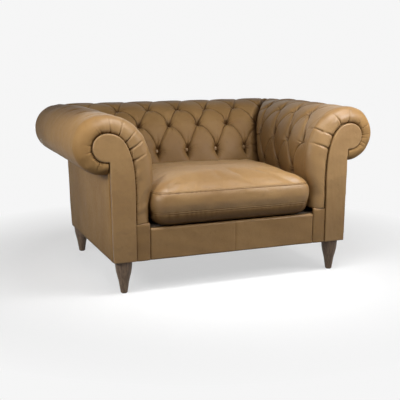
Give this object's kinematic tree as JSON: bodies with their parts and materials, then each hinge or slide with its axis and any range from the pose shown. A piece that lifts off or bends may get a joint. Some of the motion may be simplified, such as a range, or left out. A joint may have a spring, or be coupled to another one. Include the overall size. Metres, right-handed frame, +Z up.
{
  "type": "chesterfield snuggler chair",
  "caption": "Wide low armchair with rolled, deep-buttoned leather arms and back, scroll facings, a loose boxed seat cushion and turned wooden legs",
  "frame": {"origin": "on the floor, in the middle of the chair's outline", "axes": "+X to the right as seen from in front, -Y towards the front, +Z up"},
  "size_m": [1.3256, 0.9398, 0.714],
  "materials": {
    "tan_leather": "waxed, mottled tan with darker folds",
    "button_leather": "waxed",
    "leg_wood": "grey-brown stain, satin",
    "glide_plastic": "matte",
    "zinc_steel": "zinc plated",
    "spring_wire": "drawn wire",
    "frame_wood": "sawn hardwood",
    "lining_board": "plain",
    "deck_fabric": "woven, felt below",
    "dust_fabric": "non-woven",
    "foam": "foam in a plain case"
  },
  "bodies": {
    "chair": {"leg_front_left": "leg_wood", "leg_front_right": "leg_wood", "leg_rear_left": "leg_wood", "leg_rear_right": "leg_wood", "leg_glides": "glide_plastic", "hanger_bolts": "zinc_steel", "tee_nuts": "zinc_steel", "corner_blocks": "frame_wood", "front_rail": "frame_wood", "back_rail": "frame_wood", "side_rail_left": "frame_wood", "side_rail_right": "frame_wood", "centre_stretcher": "frame_wood", "arm_front_post_left": "frame_wood", "arm_front_post_right": "frame_wood", "arm_rear_post_left": "frame_wood", "arm_rear_post_right": "frame_wood", "arm_roll_board_left": "frame_wood", "arm_roll_board_right": "frame_wood", "arm_tack_rail_left": "frame_wood", "arm_tack_rail_right": "frame_wood", "back_rib_left": "frame_wood", "back_rib_centre": "frame_wood", "back_rib_right": "frame_wood", "back_roll_board": "frame_wood", "back_tack_rails": "frame_wood", "arm_lining_left": "lining_board", "arm_lining_right": "lining_board", "back_lining": "lining_board", "seat_springs": "spring_wire", "spring_clips": "zinc_steel", "seat_deck": "deck_fabric", "dust_cover": "dust_fabric", "inside_arm_left": "tan_leather", "inside_arm_right": "tan_leather", "inside_back": "tan_leather", "arm_buttons_left": "button_leather", "arm_buttons_right": "button_leather", "back_buttons": "button_leather", "facing_left": "tan_leather", "facing_right": "tan_leather", "front_border_left": "tan_leather", "front_border_right": "tan_leather", "outside_arm_left": "tan_leather", "outside_arm_right": "tan_leather", "outside_back": "tan_leather", "base_front": "tan_leather"},
    "seat_cushion": {"seat_cushion_cover": "tan_leather", "seat_cushion_core": "foam"}
  },
  "joints": [
    {"name": "cushion_slide", "type": "slide", "parent": "chair", "child": "seat_cushion", "axis": [0, -1, 0], "range_m": [0, 0.55]}
  ]
}
